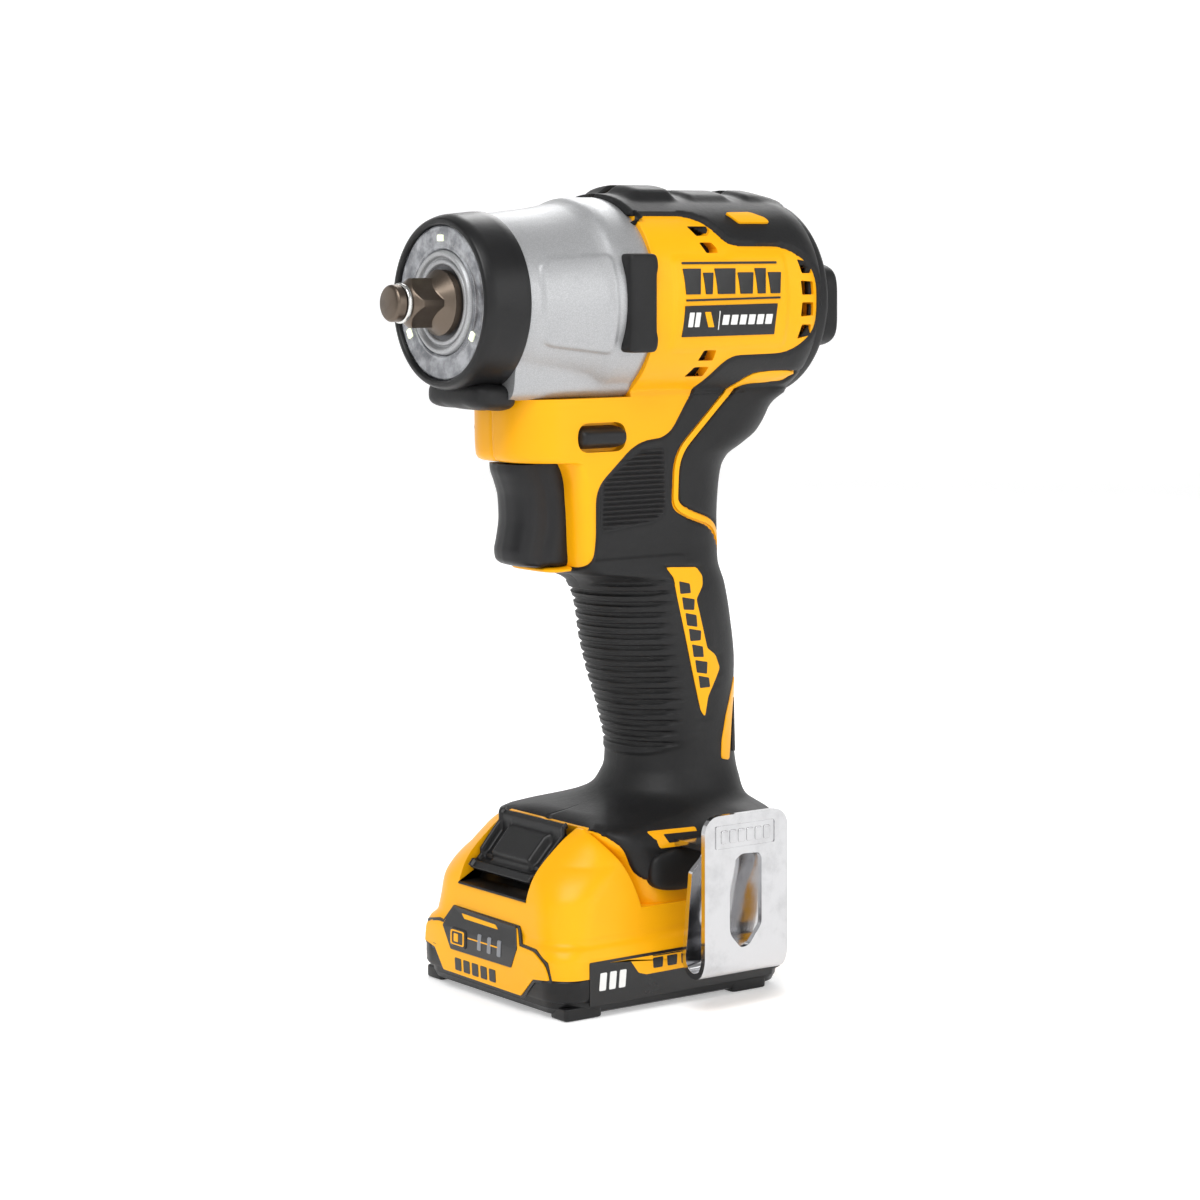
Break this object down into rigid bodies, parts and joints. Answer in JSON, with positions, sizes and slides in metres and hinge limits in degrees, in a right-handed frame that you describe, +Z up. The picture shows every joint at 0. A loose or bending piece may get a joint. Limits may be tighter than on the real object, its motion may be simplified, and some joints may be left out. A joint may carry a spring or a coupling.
{
  "type": "compact cordless impact wrench",
  "caption": "Compact cordless impact wrench: square-drive anvil in a metal nose, pistol grip with trigger, slide-on battery foot and steel belt hook.",
  "frame": {"origin": "centre of the battery's flat base, on the surface the tool stands on", "axes": "+Z up, square drive points along -X, belt hook on the -Y side, +Y is the right side seen from behind the tool"},
  "size_m": [0.124, 0.077, 0.199],
  "materials": {
    "drive_steel": "dark bronze phosphate on steel",
    "hardened_steel": "machined and hardened",
    "bright_steel": "ground",
    "spring_steel": "drawn wire",
    "cast_aluminium": "die cast, silver painted",
    "bronze": "sintered bronze",
    "rubber": "matt moulded rubber",
    "clear_lens": "clear moulded lens",
    "circuit_board": "solder mask",
    "lamp_white": "diffused white",
    "grey_nylon": "moulded",
    "lamination_steel": "stacked sheets",
    "copper": "enamelled copper",
    "black_nylon": "fine moulded grain",
    "yellow_shell": "satin moulded nylon",
    "black_screws": "black zinc",
    "soft_grip": "soft overmould",
    "label_black": "printed panel",
    "wire_red": "insulated wire",
    "cell_steel": "wrapped cell",
    "chrome_steel": "polished, nickel chrome plated"
  },
  "bodies": {
    "housing": {"anvil_bush": "bronze", "belt_hook": "chrome_steel", "belt_hook_screw": "black_screws", "carrier_bearing": "bright_steel", "control_board": "grey_nylon", "front_bearing": "bright_steel", "gear_case": "cast_aluminium", "gear_case_plate": "grey_nylon", "grip_left": "soft_grip", "grip_right": "soft_grip", "hook_pad": "rubber", "housing_left": "yellow_shell", "housing_right": "yellow_shell", "housing_screws": "black_screws", "lamp_board": "circuit_board", "lamps": "lamp_white", "lens_ring": "clear_lens", "lower_bumper": "rubber", "name_panels": "label_black", "nose_bumper": "rubber", "power_wires": "wire_red", "rear_bearing": "bright_steel", "rear_bumper": "soft_grip", "ring_gear": "hardened_steel", "sensor_board": "circuit_board", "side_pads": "rubber", "stator_core": "lamination_steel", "stator_windings": "copper", "switch_body": "black_nylon", "terminal_block": "black_nylon", "top_bumper": "soft_grip", "trigger_spring": "spring_steel"},
    "anvil": {"anvil": "drive_steel", "hog_ring": "drive_steel"},
    "hammer": {"hammer": "hardened_steel"},
    "camshaft": {"camshaft": "hardened_steel", "cam_balls": "bright_steel", "planet_pins": "bright_steel", "thrust_washer": "bright_steel", "hammer_spring": "spring_steel"},
    "planet_1": {"planet_gear_1": "hardened_steel"},
    "planet_2": {"planet_gear_2": "hardened_steel"},
    "planet_3": {"planet_gear_3": "hardened_steel"},
    "rotor": {"motor_shaft": "bright_steel", "rotor_core": "lamination_steel", "pinion": "hardened_steel", "cooling_fan": "black_nylon"},
    "trigger": {"trigger": "black_nylon"},
    "direction_button": {"direction_button": "black_nylon"},
    "battery": {"battery_tray": "black_nylon", "battery_cover": "yellow_shell", "battery_cells": "cell_steel", "cell_holders": "grey_nylon", "battery_board": "circuit_board", "battery_contacts": "copper", "gauge_lights": "grey_nylon", "battery_labels": "label_black", "latch_spring": "spring_steel"},
    "battery_latch": {"battery_latch": "black_nylon"},
    "gauge_button": {"gauge_button": "soft_grip"}
  },
  "joints": [
    {"name": "camshaft_spin", "type": "hinge", "parent": "housing", "child": "camshaft", "pos_m": [0, 0, 0.17], "axis": [1, 0, 0], "continuous": true},
    {"name": "anvil_spin", "type": "hinge", "parent": "housing", "child": "anvil", "pos_m": [0, 0, 0.17], "axis": [1, 0, 0], "continuous": true},
    {"name": "rotor_spin", "type": "hinge", "parent": "housing", "child": "rotor", "pos_m": [0, 0, 0.17], "axis": [1, 0, 0], "continuous": true},
    {"name": "hammer_slide", "type": "slide", "parent": "camshaft", "child": "hammer", "axis": [1, 0, 0], "range_m": [0, 0.005], "deforming": ["hammer_spring"]},
    {"name": "planet_1_spin", "type": "hinge", "parent": "camshaft", "child": "planet_1", "pos_m": [0, 0, 0.1799], "axis": [1, 0, 0], "continuous": true},
    {"name": "planet_2_spin", "type": "hinge", "parent": "camshaft", "child": "planet_2", "pos_m": [0, -0.00857, 0.16505], "axis": [1, 0, 0], "continuous": true},
    {"name": "planet_3_spin", "type": "hinge", "parent": "camshaft", "child": "planet_3", "pos_m": [0, 0.00857, 0.16505], "axis": [1, 0, 0], "continuous": true},
    {"name": "trigger_pull", "type": "slide", "parent": "housing", "child": "trigger", "axis": [1, 0, 0], "range_m": [0, 0.005], "deforming": ["trigger_spring"]},
    {"name": "direction_slide", "type": "slide", "parent": "housing", "child": "direction_button", "axis": [0, 1, 0], "range_m": [-0.003, 0.003]},
    {"name": "battery_slide", "type": "slide", "parent": "housing", "child": "battery", "axis": [-1, 0, 0], "range_m": [0, 0.085]},
    {"name": "latch_press", "type": "slide", "parent": "battery", "child": "battery_latch", "axis": [0, 0, -1], "range_m": [0, 0.0035], "deforming": ["latch_spring"]},
    {"name": "gauge_press", "type": "slide", "parent": "battery", "child": "gauge_button", "axis": [1, 0, 0], "range_m": [0, 0.0004]}
  ],
  "couplings": [
    {"joint": "anvil_spin", "follows": "camshaft_spin", "ratio": 1},
    {"joint": "rotor_spin", "follows": "camshaft_spin", "ratio": 5.5},
    {"joint": "planet_1_spin", "follows": "camshaft_spin", "ratio": -2.5714},
    {"joint": "planet_2_spin", "follows": "camshaft_spin", "ratio": -2.5714},
    {"joint": "planet_3_spin", "follows": "camshaft_spin", "ratio": -2.5714}
  ]
}
